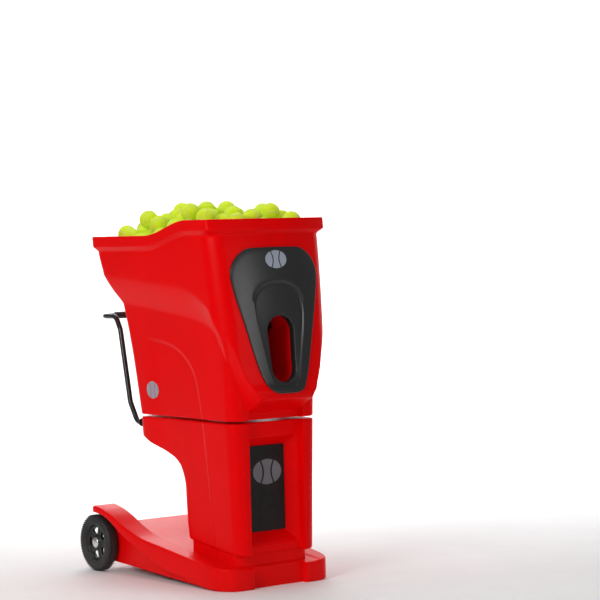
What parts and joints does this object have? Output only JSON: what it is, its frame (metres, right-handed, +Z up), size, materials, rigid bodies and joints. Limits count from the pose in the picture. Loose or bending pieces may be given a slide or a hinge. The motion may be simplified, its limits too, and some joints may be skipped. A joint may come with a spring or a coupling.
{
  "type": "tennis ball machine",
  "caption": "Wheeled tennis ball machine: red column on a sled base, panning hopper body with tilting two-wheel throwing head, ball feed carousel and rear keypad.",
  "frame": {"origin": "centre of the bounding box at floor level", "axes": "+Z up, balls leave towards -Y, wheels and handle at +Y, +X to the machine's left when it is seen from behind the exit"},
  "size_m": [0.5498, 0.9451, 1.3216],
  "materials": {
    "red_moulding": "satin red polyethylene moulding",
    "black_moulding": "satin black moulding",
    "insert_black": "matt black sheet",
    "enamel": "semi-gloss black enamel",
    "steel": "plated steel",
    "motor_case": "dark motor casing",
    "grey_case": "grey moulding",
    "clear_tube": "white pipe",
    "tyre": "solid rubber tyre",
    "throw_rubber": "grey urethane",
    "zinc": "bright zinc",
    "felt": "optic yellow felt",
    "panel_silver": "silver printed film",
    "display": "clear window",
    "board": "printed board",
    "key_white": "white key",
    "key_black": "black key",
    "key_grey": "grey key",
    "key_green": "green key",
    "key_red": "red key"
  },
  "bodies": {
    "base": {"base_sled": "red_moulding", "axle": "steel", "lower_housing": "red_moulding", "front_insert": "insert_black", "handle_tube": "enamel", "turntable_lower": "steel", "pan_motor": "motor_case", "power_supply": "grey_case", "power_inlet": "black_moulding", "switch_frame": "black_moulding"},
    "switch_rocker": {"power_switch": "key_red"},
    "wheel_left": {"wheel_left_tyre": "tyre", "wheel_left_rim": "enamel", "wheel_left_cap": "zinc"},
    "wheel_right": {"wheel_right_tyre": "tyre", "wheel_right_rim": "enamel", "wheel_right_cap": "zinc"},
    "upper_body": {"upper_housing": "red_moulding", "bezel": "black_moulding", "exit_shroud": "red_moulding", "hopper_floor": "red_moulding", "feed_tube": "clear_tube", "carousel_motor": "motor_case", "turntable_upper": "steel", "pan_spindle": "steel", "tilt_bracket_left": "steel", "tilt_bracket_right": "steel", "tilt_motor": "motor_case", "panel_housing": "black_moulding", "panel_face": "panel_silver", "display_window": "display", "control_board": "board"},
    "carousel": {"carousel": "black_moulding"},
    "throw_head": {"throw_carriage": "steel", "throw_motor_upper": "motor_case", "throw_motor_lower": "motor_case"},
    "throw_wheel_upper": {"throw_wheel_upper": "throw_rubber"},
    "throw_wheel_lower": {"throw_wheel_lower": "throw_rubber"},
    "ball_load": {"ball_load": "felt"},
    "key_depth": {"button_depth": "key_black"},
    "key_high_arc": {"button_high_arc": "key_black"},
    "key_low_arc": {"button_low_arc": "key_black"},
    "key_manual": {"button_manual": "key_grey"},
    "key_medium": {"button_medium": "key_black"},
    "key_menu_down": {"button_menu_down": "key_white"},
    "key_menu_up": {"button_menu_up": "key_white"},
    "key_mirror": {"button_mirror": "key_black"},
    "key_narrow": {"button_narrow": "key_black"},
    "key_play": {"button_play": "key_grey"},
    "key_power": {"button_power": "key_red"},
    "key_random": {"button_random": "key_black"},
    "key_remote": {"button_remote": "key_green"},
    "key_setting_minus": {"button_setting_minus": "key_white"},
    "key_setting_plus": {"button_setting_plus": "key_white"},
    "key_sweep": {"button_sweep": "key_black"},
    "key_test": {"button_test": "key_green"},
    "key_wide": {"button_wide": "key_black"}
  },
  "joints": [
    {"name": "pan", "type": "hinge", "parent": "base", "child": "upper_body", "pos_m": [0, -0.22, 0.568], "axis": [0, 0, 1], "range_deg": [-9, 9]},
    {"name": "wheel_left_spin", "type": "hinge", "parent": "base", "child": "wheel_left", "pos_m": [-0.2541, 0.371, 0.1016], "axis": [1, 0, 0], "continuous": true},
    {"name": "wheel_right_spin", "type": "hinge", "parent": "base", "child": "wheel_right", "pos_m": [0.2541, 0.371, 0.1016], "axis": [1, 0, 0], "continuous": true},
    {"name": "power_rocker", "type": "hinge", "parent": "base", "child": "switch_rocker", "pos_m": [0.04, -0.0472, 0.28], "axis": [1, 0, 0], "range_deg": [-10, 0]},
    {"name": "carousel_spin", "type": "hinge", "parent": "upper_body", "child": "carousel", "pos_m": [0, 0.08, 1.03], "axis": [0, 0, 1], "continuous": true},
    {"name": "throw_tilt", "type": "hinge", "parent": "upper_body", "child": "throw_head", "pos_m": [0, -0.19, 0.8], "axis": [-1, 0, 0], "range_deg": [-10, 20]},
    {"name": "throw_upper_spin", "type": "hinge", "parent": "throw_head", "child": "throw_wheel_upper", "pos_m": [0, -0.19, 0.901], "axis": [1, 0, 0], "continuous": true},
    {"name": "throw_lower_spin", "type": "hinge", "parent": "throw_head", "child": "throw_wheel_lower", "pos_m": [0, -0.19, 0.699], "axis": [1, 0, 0], "continuous": true},
    {"name": "ball_load_lift", "type": "slide", "parent": "upper_body", "child": "ball_load", "axis": [0, 0, 1], "range_m": [0, 0.3]},
    {"name": "press_depth", "type": "slide", "parent": "upper_body", "child": "key_depth", "axis": [0, -0.9945, -0.1045], "range_m": [0, 0.001], "stiffness_N_per_m": 400},
    {"name": "press_high_arc", "type": "slide", "parent": "upper_body", "child": "key_high_arc", "axis": [0, -0.9945, -0.1045], "range_m": [0, 0.001], "stiffness_N_per_m": 400},
    {"name": "press_low_arc", "type": "slide", "parent": "upper_body", "child": "key_low_arc", "axis": [0, -0.9945, -0.1045], "range_m": [0, 0.001], "stiffness_N_per_m": 400},
    {"name": "press_manual", "type": "slide", "parent": "upper_body", "child": "key_manual", "axis": [0, -0.9945, -0.1045], "range_m": [0, 0.001], "stiffness_N_per_m": 400},
    {"name": "press_medium", "type": "slide", "parent": "upper_body", "child": "key_medium", "axis": [0, -0.9945, -0.1045], "range_m": [0, 0.001], "stiffness_N_per_m": 400},
    {"name": "press_menu_down", "type": "slide", "parent": "upper_body", "child": "key_menu_down", "axis": [0, -0.9945, -0.1045], "range_m": [0, 0.001], "stiffness_N_per_m": 400},
    {"name": "press_menu_up", "type": "slide", "parent": "upper_body", "child": "key_menu_up", "axis": [0, -0.9945, -0.1045], "range_m": [0, 0.001], "stiffness_N_per_m": 400},
    {"name": "press_mirror", "type": "slide", "parent": "upper_body", "child": "key_mirror", "axis": [0, -0.9945, -0.1045], "range_m": [0, 0.001], "stiffness_N_per_m": 400},
    {"name": "press_narrow", "type": "slide", "parent": "upper_body", "child": "key_narrow", "axis": [0, -0.9945, -0.1045], "range_m": [0, 0.001], "stiffness_N_per_m": 400},
    {"name": "press_play", "type": "slide", "parent": "upper_body", "child": "key_play", "axis": [0, -0.9945, -0.1045], "range_m": [0, 0.001], "stiffness_N_per_m": 400},
    {"name": "press_power", "type": "slide", "parent": "upper_body", "child": "key_power", "axis": [0, -0.9945, -0.1045], "range_m": [0, 0.001], "stiffness_N_per_m": 400},
    {"name": "press_random", "type": "slide", "parent": "upper_body", "child": "key_random", "axis": [0, -0.9945, -0.1045], "range_m": [0, 0.001], "stiffness_N_per_m": 400},
    {"name": "press_remote", "type": "slide", "parent": "upper_body", "child": "key_remote", "axis": [0, -0.9945, -0.1045], "range_m": [0, 0.001], "stiffness_N_per_m": 400},
    {"name": "press_setting_minus", "type": "slide", "parent": "upper_body", "child": "key_setting_minus", "axis": [0, -0.9945, -0.1045], "range_m": [0, 0.001], "stiffness_N_per_m": 400},
    {"name": "press_setting_plus", "type": "slide", "parent": "upper_body", "child": "key_setting_plus", "axis": [0, -0.9945, -0.1045], "range_m": [0, 0.001], "stiffness_N_per_m": 400},
    {"name": "press_sweep", "type": "slide", "parent": "upper_body", "child": "key_sweep", "axis": [0, -0.9945, -0.1045], "range_m": [0, 0.001], "stiffness_N_per_m": 400},
    {"name": "press_test", "type": "slide", "parent": "upper_body", "child": "key_test", "axis": [0, -0.9945, -0.1045], "range_m": [0, 0.001], "stiffness_N_per_m": 400},
    {"name": "press_wide", "type": "slide", "parent": "upper_body", "child": "key_wide", "axis": [0, -0.9945, -0.1045], "range_m": [0, 0.001], "stiffness_N_per_m": 400}
  ]
}
